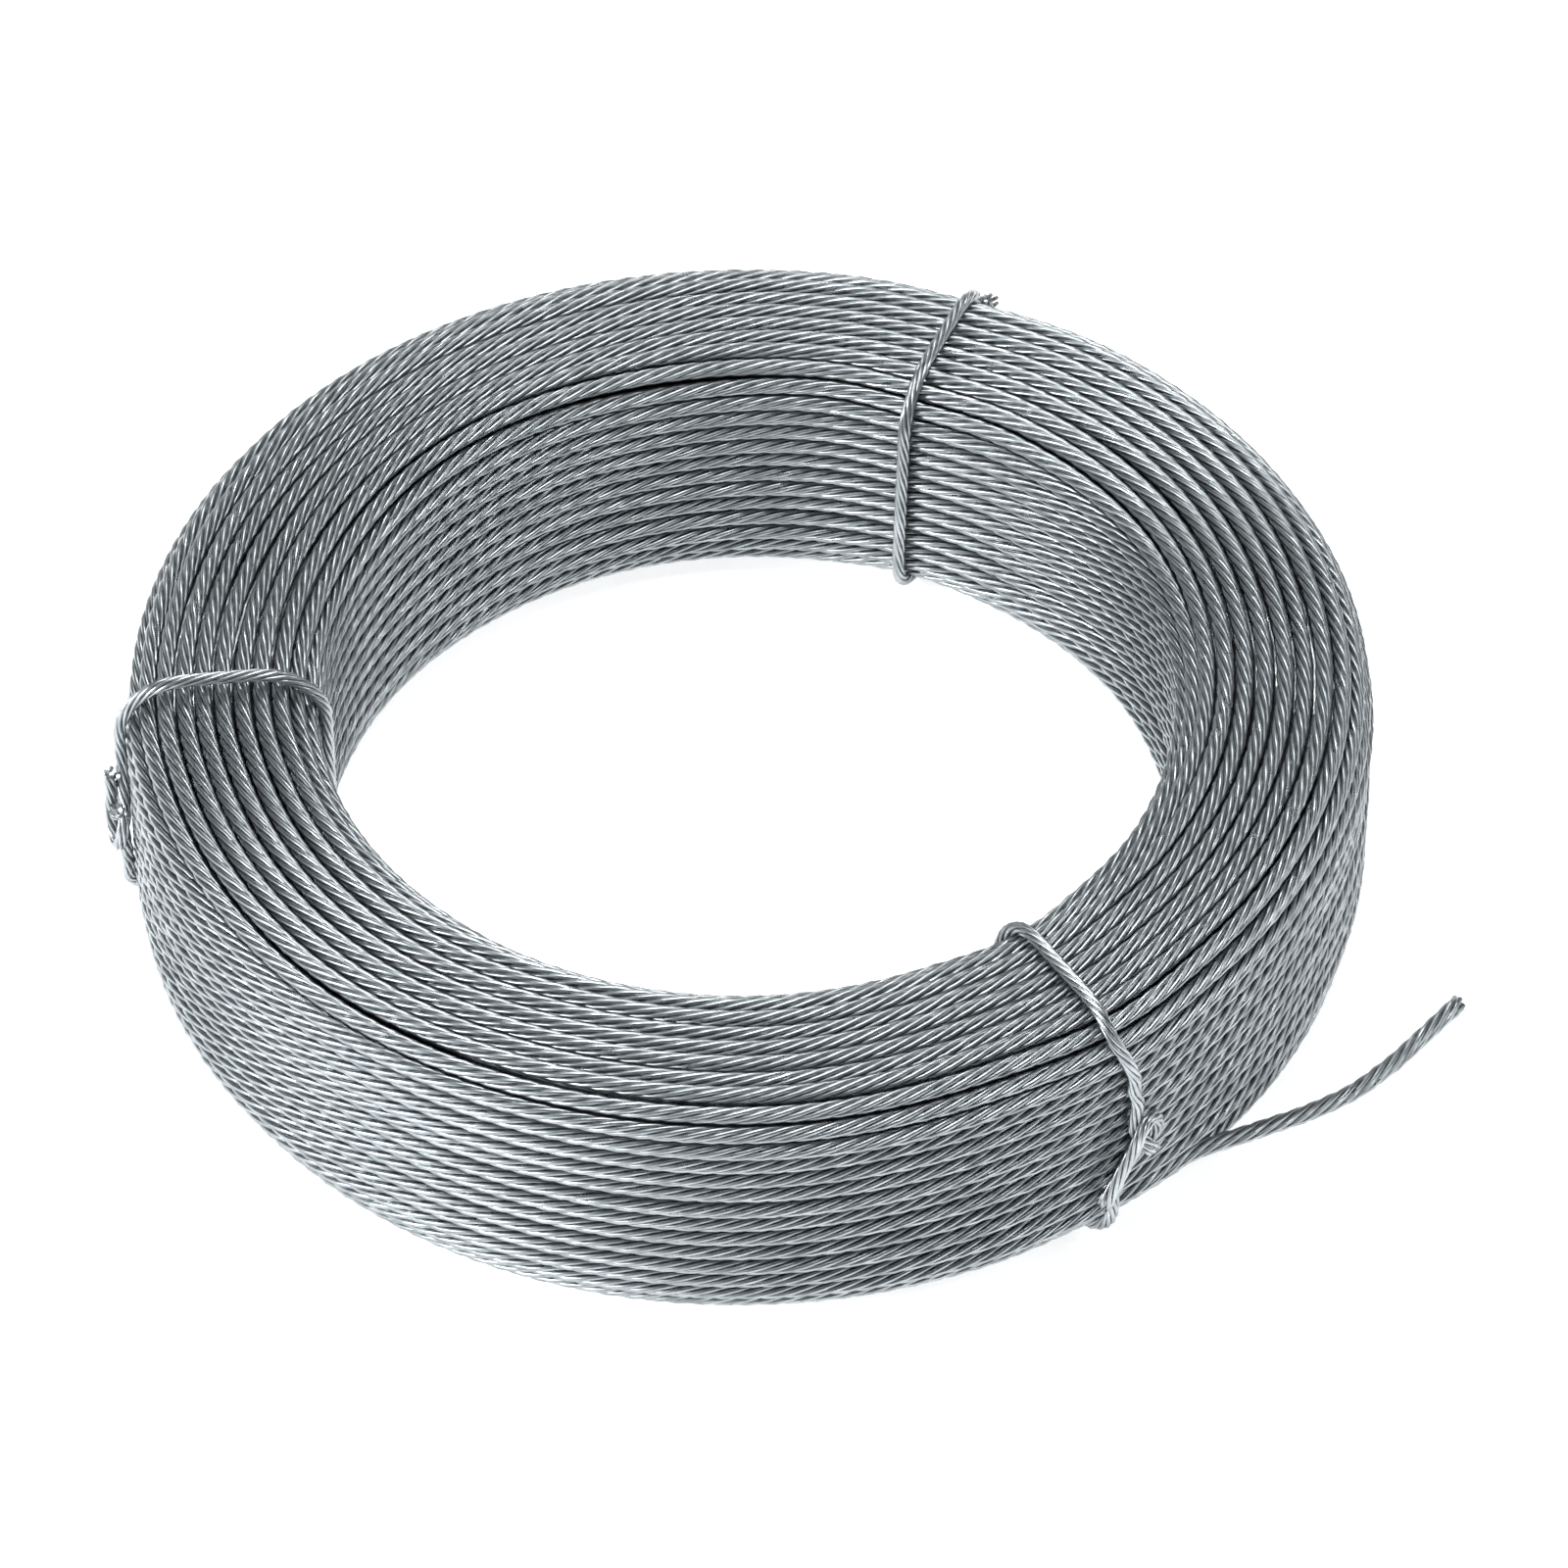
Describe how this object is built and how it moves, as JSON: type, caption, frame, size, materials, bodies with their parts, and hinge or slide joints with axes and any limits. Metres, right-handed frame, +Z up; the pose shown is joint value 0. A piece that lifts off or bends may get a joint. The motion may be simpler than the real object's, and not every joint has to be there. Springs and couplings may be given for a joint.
{
  "type": "wire rope coil",
  "caption": "Round coil of galvanised steel wire rope, bound by twisted wire ties, with one loose cut end to take a clip, thimble or ferrule.",
  "frame": {"origin": "on the ring's axis, in the plane that the coil lies on", "axes": "+Z up along the ring's axis, +X towards the side where the loose end lies, +Y to the back"},
  "size_m": [0.1519, 0.138, 0.0353],
  "materials": {
    "wire_rope": "bright hot-dip galvanised strand",
    "tie_wire": "bright galvanised strand, cut by hand"
  },
  "bodies": {
    "root": {"coil": "wire_rope", "tail": "wire_rope", "rope_end": "wire_rope", "tie_front": "tie_wire", "tie_back": "tie_wire", "tie_left": "tie_wire"}
  },
  "joints": []
}
